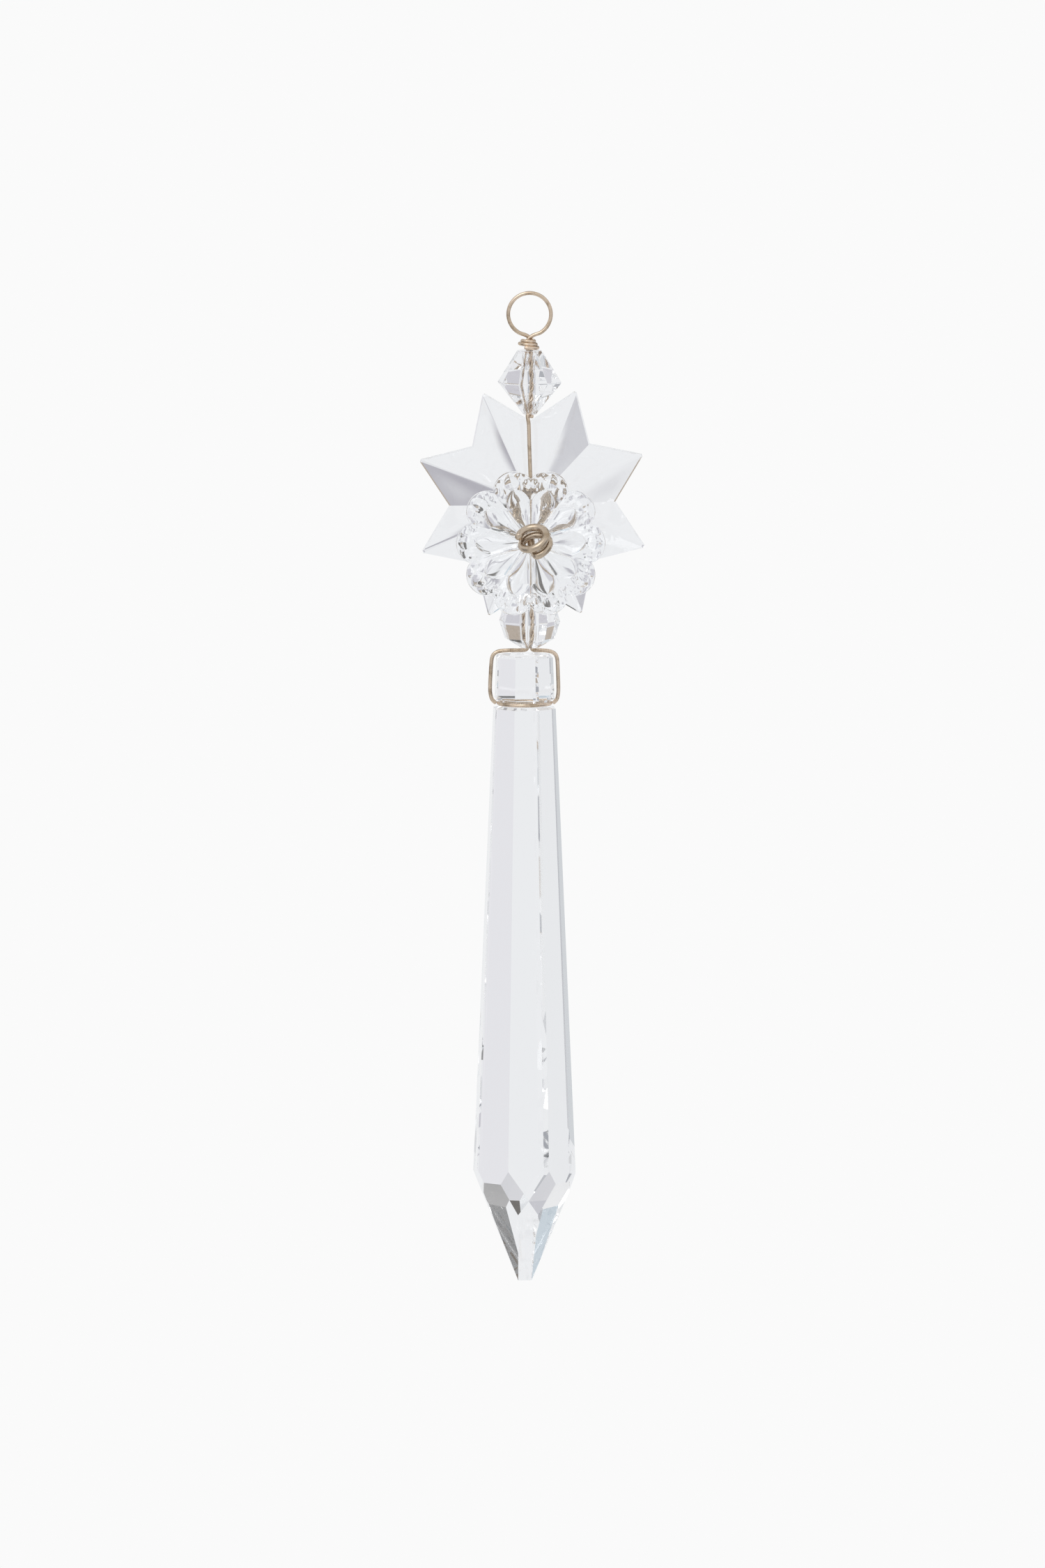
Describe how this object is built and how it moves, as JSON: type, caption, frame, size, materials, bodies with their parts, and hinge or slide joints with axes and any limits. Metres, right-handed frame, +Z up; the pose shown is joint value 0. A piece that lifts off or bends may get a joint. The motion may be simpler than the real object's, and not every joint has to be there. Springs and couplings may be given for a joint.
{
  "type": "icicle hanging ornament",
  "caption": "Slim hanging crystal ornament: wire ring, bicone bead, star behind a pressed glass rosette, round bead and a long faceted icicle on a wire bail.",
  "frame": {"origin": "centre of the ring that the ornament hangs from", "axes": "+Z up, so the icicle points along -Z; -Y is the front, where the rosette's face and the pin's coil are; +X is to the right seen from the front"},
  "size_m": [0.0375, 0.025, 0.166],
  "materials": {
    "thin_wire": "drawn wire, antique champagne brass, satin",
    "thick_wire": "drawn wire, pale nickel brass, satin",
    "crystal": "clear cut crystal, polished flat facets",
    "pressed_glass": "clear pressed glass, fire-polished, soft edges"
  },
  "bodies": {
    "hanger": {"hanging_ring": "thin_wire", "stem_wire": "thin_wire", "bail_wire": "thin_wire", "rosette_pin": "thick_wire"},
    "bicone": {"bicone_bead": "crystal"},
    "star_body": {"star": "crystal"},
    "rosette_body": {"rosette": "pressed_glass"},
    "bead": {"round_bead": "crystal"},
    "neck_loop": {"neck_ring": "thin_wire"},
    "icicle_body": {"icicle": "crystal"}
  },
  "joints": [
    {"name": "bicone_spin", "type": "hinge", "parent": "hanger", "child": "bicone", "pos_m": [0, 0, -0.01133], "axis": [0, 0, 1], "continuous": true},
    {"name": "star_rock", "type": "hinge", "parent": "hanger", "child": "star_body", "pos_m": [0.00045, 0.0053, -0.0321], "axis": [0, 1, 0], "range_deg": [-10, 10]},
    {"name": "rosette_spin", "type": "hinge", "parent": "hanger", "child": "rosette_body", "pos_m": [0.0002, -0.0035, -0.03795], "axis": [0, -0.9848, 0.1736], "continuous": true},
    {"name": "round_bead_spin", "type": "hinge", "parent": "hanger", "child": "bead", "pos_m": [0, 0, -0.0512], "axis": [0, 0, 1], "continuous": true},
    {"name": "icicle_swing", "type": "hinge", "parent": "hanger", "child": "neck_loop", "pos_m": [-0.00085, 0, -0.065], "axis": [1, 0, 0], "range_deg": [-8, 8]},
    {"name": "icicle_spin", "type": "hinge", "parent": "neck_loop", "child": "icicle_body", "pos_m": [-0.00085, 0, -0.065], "axis": [0, 0, 1], "continuous": true}
  ]
}
